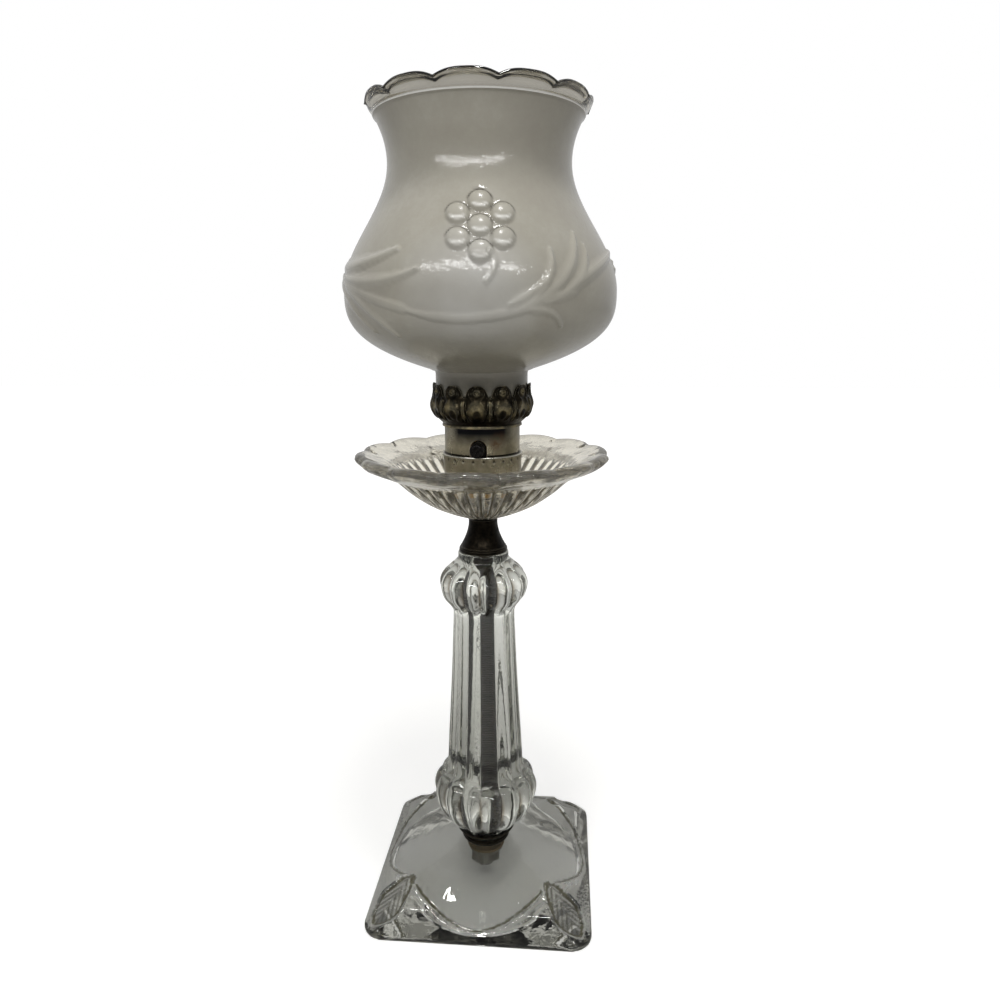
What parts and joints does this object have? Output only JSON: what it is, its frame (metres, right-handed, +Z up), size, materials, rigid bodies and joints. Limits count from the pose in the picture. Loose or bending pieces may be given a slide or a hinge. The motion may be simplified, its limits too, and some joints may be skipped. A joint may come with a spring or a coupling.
{
  "type": "vanity lamp",
  "caption": "Small pressed-glass table lamp with a square base, fluted column, ribbed saucer, push-through switch and frosted shade on a metal gallery.",
  "frame": {"origin": "where the lamp's axis meets the surface that it stands on", "axes": "+Z up the lamp's axis, -Y towards the front switch button, +Y towards the cord notch"},
  "size_m": [0.1196, 0.1196, 0.3677],
  "materials": {
    "base_glass": "clear pressed glass",
    "column_glass": "clear pressed glass",
    "saucer_glass": "clear pressed glass",
    "shade_glass": "satin frosted glass with a clear rim",
    "bulb_glass": "clear blown glass",
    "bronze": "dark aged bronze, worn on the high spots",
    "nickel": "dull aged nickel plate",
    "steel": "plain steel",
    "brass": "bright brass",
    "bakelite": "black moulded phenolic",
    "fibre": "pressed fibre"
  },
  "bodies": {
    "lamp": {"glass_base": "base_glass", "base_pad": "fibre", "base_washer": "steel", "base_nut": "steel", "lamp_pipe": "steel", "lower_seat_ring": "bronze", "column_cup_ring": "bronze", "glass_column": "column_glass", "neck_spool": "bronze", "glass_saucer": "saucer_glass", "saucer_pad": "fibre", "saucer_nut": "steel", "cap_bushing": "brass", "set_screw": "steel", "socket_cap": "nickel", "cap_insulator": "fibre", "socket_shell": "nickel", "shell_liner": "fibre", "socket_body": "bakelite", "live_terminal_screw": "brass", "neutral_terminal_screw": "nickel", "screw_shell": "brass", "centre_contact": "brass", "shade_holder": "bronze", "bulb_contact": "brass", "bulb_insulator": "bakelite", "bulb_cap": "brass", "bulb_glass": "bulb_glass", "bulb_stem": "bulb_glass", "bulb_filament": "steel"},
    "switch": {"switch_plunger": "brass", "front_button": "bakelite", "back_button": "bakelite"},
    "shade": {"glass_shade": "shade_glass"}
  },
  "joints": [
    {"name": "switch_push", "type": "slide", "parent": "lamp", "child": "switch", "axis": [0, 1, 0], "range_m": [0, 0.006]},
    {"name": "shade_lift", "type": "slide", "parent": "lamp", "child": "shade", "axis": [0, 0, 1], "range_m": [0, 0.1]}
  ]
}
